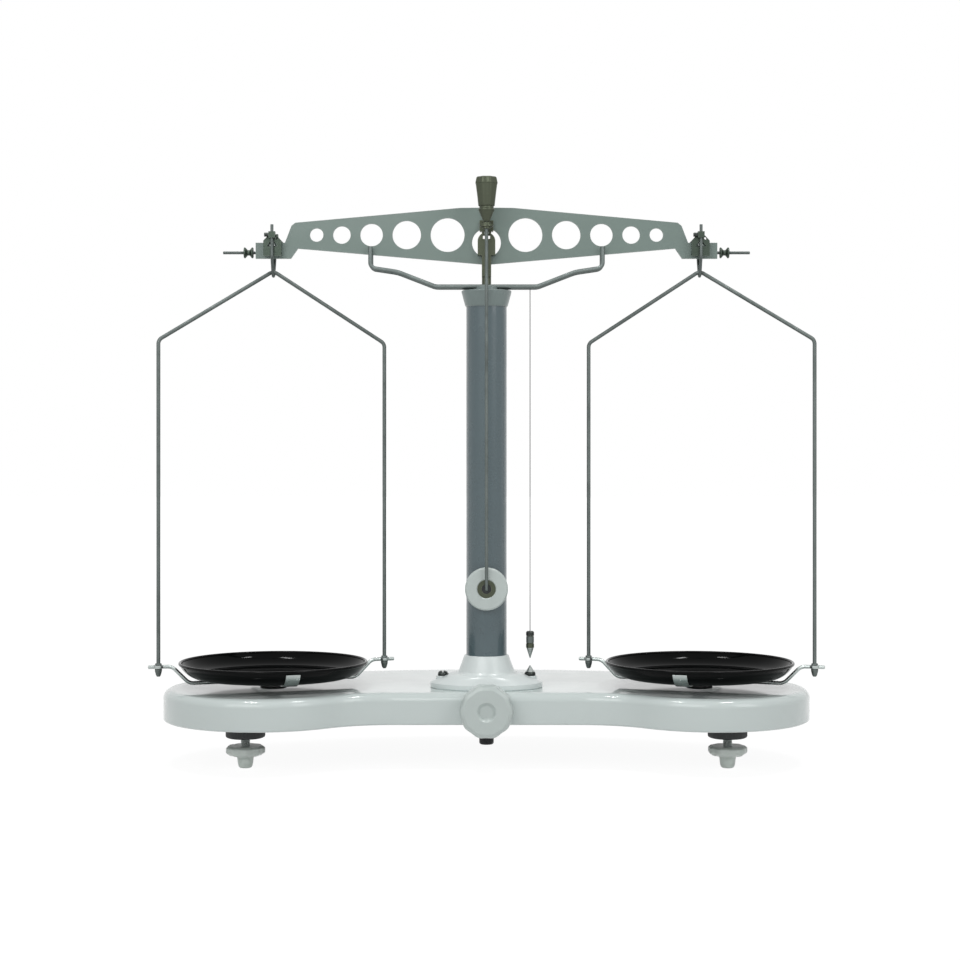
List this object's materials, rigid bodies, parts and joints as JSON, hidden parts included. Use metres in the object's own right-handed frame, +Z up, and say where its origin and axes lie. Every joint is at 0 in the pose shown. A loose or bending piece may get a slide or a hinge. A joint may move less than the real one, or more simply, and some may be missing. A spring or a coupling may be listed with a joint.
{
  "type": "apothecary scale",
  "caption": "Pillar balance with a knife-edge beam, wire hangers, round enamelled pans, pointer, plumb line, arrest knob and levelling feet",
  "frame": {"origin": "On the table, under the middle of the outline box of the scale.", "axes": "+Z up; +X to the user's right along the beam; -Y towards the user, +Y to the back."},
  "size_m": [0.4274, 0.1658, 0.3737],
  "materials": {
    "beam_alloy": "grey-green satin",
    "brass_dark": "darkened brass",
    "casting_grey": "grey painted casting",
    "column_steel": "blue-grey polished",
    "enamel_black": "black gloss enamel on pressed steel",
    "enamel_white": "stoved gloss enamel on cast iron",
    "line_grey": "braided line",
    "plastic_black": "moulded, matte",
    "plastic_white": "moulded, glossy",
    "rubber_black": "moulded rubber",
    "steel_bright": "ground steel",
    "steel_dark": "blackened steel",
    "wire_grey": "drawn wire",
    "zinc": "bright zinc"
  },
  "bodies": {
    "stand": {"base_casting": "enamel_white", "base_cover": "steel_dark", "cover_screws": "steel_bright", "rear_foot": "rubber_black", "rest_pads": "rubber_black", "column_flange": "enamel_white", "flange_screw": "steel_dark", "plumb_target": "steel_dark", "guide_bushes": "brass_dark", "column_tube": "column_steel", "column_cap": "casting_grey", "index_disc": "plastic_white", "index_hub": "brass_dark", "rest_arm_front": "steel_dark", "rest_arm_rear": "steel_dark", "rest_pins": "steel_bright", "plumb_pin": "steel_bright"},
    "arrest": {"arrest_knob": "plastic_white", "arrest_shaft": "steel_bright", "arrest_cam": "brass_dark"},
    "lift": {"lift_rod": "steel_bright", "bearing_yoke": "brass_dark"},
    "beam": {"beam_plate": "beam_alloy", "knife_holder": "brass_dark", "centre_knife": "steel_bright", "end_knife_left": "steel_bright", "end_knife_right": "steel_bright", "balance_rod_left": "steel_bright", "balance_rod_right": "steel_bright", "pointer_arm": "brass_dark", "pointer": "steel_bright"},
    "bob": {"sensitivity_bob": "brass_dark"},
    "plumb": {"plumb_line": "line_grey", "plumb_bob": "brass_dark"},
    "nut_left": {"balance_nut_left": "brass_dark"},
    "shackle_left": {"saddle_left": "brass_dark", "stirrup_left": "wire_grey", "saddle_screw_left": "steel_dark"},
    "hanger_left": {"hanger_left": "wire_grey", "hanger_nuts_left": "wire_grey", "carrier_left": "zinc", "strap_left": "zinc"},
    "pan_left": {"pan_left": "enamel_black"},
    "foot_screw_left": {"foot_stud_left": "steel_bright"},
    "foot_knob_left": {"foot_knob_left": "plastic_white"},
    "lock_nut_left": {"lock_nut_left": "plastic_black"},
    "nut_right": {"balance_nut_right": "brass_dark"},
    "shackle_right": {"saddle_right": "brass_dark", "stirrup_right": "wire_grey", "saddle_screw_right": "steel_dark"},
    "hanger_right": {"hanger_right": "wire_grey", "hanger_nuts_right": "wire_grey", "carrier_right": "zinc", "strap_right": "zinc"},
    "pan_right": {"pan_right": "enamel_black"},
    "foot_screw_right": {"foot_stud_right": "steel_bright"},
    "foot_knob_right": {"foot_knob_right": "plastic_white"},
    "lock_nut_right": {"lock_nut_right": "plastic_black"}
  },
  "joints": [
    {"name": "arrest_turn", "type": "hinge", "parent": "stand", "child": "arrest", "pos_m": [0, -0.018, 0.0385], "axis": [0, 1, 0], "range_deg": [0, 90]},
    {"name": "arrest_lift", "type": "slide", "parent": "stand", "child": "lift", "axis": [0, 0, 1], "range_m": [0, 0.003]},
    {"name": "beam_rock", "type": "hinge", "parent": "lift", "child": "beam", "pos_m": [0, -0.018, 0.336], "axis": [0, 1, 0], "range_deg": [-1, 1]},
    {"name": "sensitivity_slide", "type": "slide", "parent": "beam", "child": "bob", "axis": [0, 0, 1], "range_m": [0, 0.003]},
    {"name": "plumb_swing", "type": "hinge", "parent": "stand", "child": "plumb", "pos_m": [0.028, -0.018, 0.3056], "axis": [0, 1, 0], "range_deg": [-1.5, 1.5]},
    {"name": "balance_slide_left", "type": "slide", "parent": "beam", "child": "nut_left", "axis": [-1, 0, 0], "range_m": [0, 0.01]},
    {"name": "saddle_rock_left", "type": "hinge", "parent": "beam", "child": "shackle_left", "pos_m": [-0.137, -0.018, 0.336], "axis": [0, 1, 0], "range_deg": [-1.1, 1.1]},
    {"name": "hanger_swing_left", "type": "hinge", "parent": "shackle_left", "child": "hanger_left", "pos_m": [-0.137, -0.018, 0.315], "axis": [1, 0, 0], "range_deg": [-1.2, 1.2]},
    {"name": "pan_lift_left", "type": "slide", "parent": "hanger_left", "child": "pan_left", "axis": [0, 0, 1], "range_m": [0, 0.03]},
    {"name": "foot_rise_left", "type": "slide", "parent": "stand", "child": "foot_screw_left", "axis": [0, 0, 1], "range_m": [-0.003, 0.003]},
    {"name": "foot_turn_left", "type": "hinge", "parent": "foot_screw_left", "child": "foot_knob_left", "pos_m": [-0.1525, -0.038, 0.011], "axis": [0, 0, 1], "range_deg": [-1080, 1080]},
    {"name": "lock_turn_left", "type": "hinge", "parent": "stand", "child": "lock_nut_left", "pos_m": [-0.1525, -0.038, 0.022], "axis": [0, 0, 1], "range_deg": [0, 90]},
    {"name": "balance_slide_right", "type": "slide", "parent": "beam", "child": "nut_right", "axis": [1, 0, 0], "range_m": [0, 0.01]},
    {"name": "saddle_rock_right", "type": "hinge", "parent": "beam", "child": "shackle_right", "pos_m": [0.137, -0.018, 0.336], "axis": [0, 1, 0], "range_deg": [-1.1, 1.1]},
    {"name": "hanger_swing_right", "type": "hinge", "parent": "shackle_right", "child": "hanger_right", "pos_m": [0.137, -0.018, 0.315], "axis": [1, 0, 0], "range_deg": [-1.2, 1.2]},
    {"name": "pan_lift_right", "type": "slide", "parent": "hanger_right", "child": "pan_right", "axis": [0, 0, 1], "range_m": [0, 0.03]},
    {"name": "foot_rise_right", "type": "slide", "parent": "stand", "child": "foot_screw_right", "axis": [0, 0, 1], "range_m": [-0.003, 0.003]},
    {"name": "foot_turn_right", "type": "hinge", "parent": "foot_screw_right", "child": "foot_knob_right", "pos_m": [0.1525, -0.038, 0.011], "axis": [0, 0, 1], "range_deg": [-1080, 1080]},
    {"name": "lock_turn_right", "type": "hinge", "parent": "stand", "child": "lock_nut_right", "pos_m": [0.1525, -0.038, 0.022], "axis": [0, 0, 1], "range_deg": [0, 90]}
  ],
  "couplings": [
    {"joint": "arrest_turn", "follows": "arrest_lift", "rad_per_m": 523.5},
    {"joint": "saddle_rock_left", "follows": "beam_rock", "ratio": -1},
    {"joint": "foot_turn_left", "follows": "foot_rise_left", "rad_per_m": 6283.1},
    {"joint": "saddle_rock_right", "follows": "beam_rock", "ratio": -1},
    {"joint": "foot_turn_right", "follows": "foot_rise_right", "rad_per_m": 6283.1}
  ]
}
